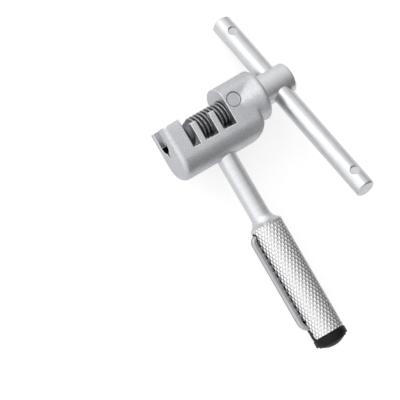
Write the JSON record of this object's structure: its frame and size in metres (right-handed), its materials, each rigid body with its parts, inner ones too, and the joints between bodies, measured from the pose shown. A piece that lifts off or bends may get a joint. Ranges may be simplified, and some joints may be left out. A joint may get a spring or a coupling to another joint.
{
  "type": "bicycle chain tool",
  "caption": "Hand tool with a slotted head, screw-driven pin and sliding cross bar that pushes pins out of a roller chain; hollow knurled grip with a wire hook.",
  "frame": {"origin": "where the drive screw's axis crosses the handle's axis, in the middle of the chain cradle", "axes": "+X along the screw from the anvil to the cross bar, +Y out of the slot's mouth with the handle along -Y, +Z square to the head's flat side; the tool lies on its side"},
  "size_m": [0.0443, 0.0978, 0.035],
  "materials": {
    "nickel_head": "satin nickel plate over a fine blasted surface",
    "screw_steel": "dark oiled thread, satin nickel hub",
    "pin_steel": "ground hardened steel",
    "spring_steel": "plain spring wire",
    "nickel_bar": "satin nickel plate",
    "nickel_handle": "satin nickel plate, diamond knurled grip",
    "hook_wire": "bright drawn stainless wire",
    "cap_black": "black moulded plastic",
    "spare_pin_steel": "gunmetal finish"
  },
  "bodies": {
    "head": {"head_body": "nickel_head", "handle": "nickel_handle"},
    "driver_pin": {"driver_pin": "pin_steel", "pin_clip": "spring_steel"},
    "drive_screw": {"drive_screw": "screw_steel"},
    "t_bar": {"t_bar": "nickel_bar"},
    "chain_hook": {"chain_hook": "hook_wire"},
    "end_cap": {"end_cap": "cap_black"},
    "connecting_pin_1": {"connecting_pin_1": "spare_pin_steel"},
    "connecting_pin_2": {"connecting_pin_2": "spare_pin_steel"}
  },
  "joints": [
    {"name": "screw_travel", "type": "slide", "parent": "head", "child": "driver_pin", "axis": [1, 0, 0], "range_m": [0, 0.0175]},
    {"name": "screw_turn", "type": "hinge", "parent": "driver_pin", "child": "drive_screw", "pos_m": [0, 0, 0], "axis": [1, 0, 0], "range_deg": [0, 5040]},
    {"name": "bar_slide", "type": "slide", "parent": "drive_screw", "child": "t_bar", "axis": [0, -0.9018, 0.4321], "range_m": [-0.031, 0.0135]},
    {"name": "hook_pull", "type": "slide", "parent": "head", "child": "chain_hook", "axis": [-1, 0, 0], "range_m": [0, 0.008]},
    {"name": "cap_pull", "type": "slide", "parent": "head", "child": "end_cap", "axis": [0, -1, 0], "range_m": [0, 0.04]},
    {"name": "spare_pin_1_slide", "type": "slide", "parent": "head", "child": "connecting_pin_1", "axis": [0, -1, 0], "range_m": [0, 0.036]},
    {"name": "spare_pin_2_slide", "type": "slide", "parent": "head", "child": "connecting_pin_2", "axis": [0, -1, 0], "range_m": [0, 0.026]}
  ],
  "couplings": [
    {"joint": "screw_travel", "follows": "screw_turn", "m_per_rad": 0.00019894},
    {"joint": "spare_pin_1_slide", "follows": "cap_pull", "ratio": 0.9},
    {"joint": "spare_pin_2_slide", "follows": "cap_pull", "ratio": 0.65}
  ]
}
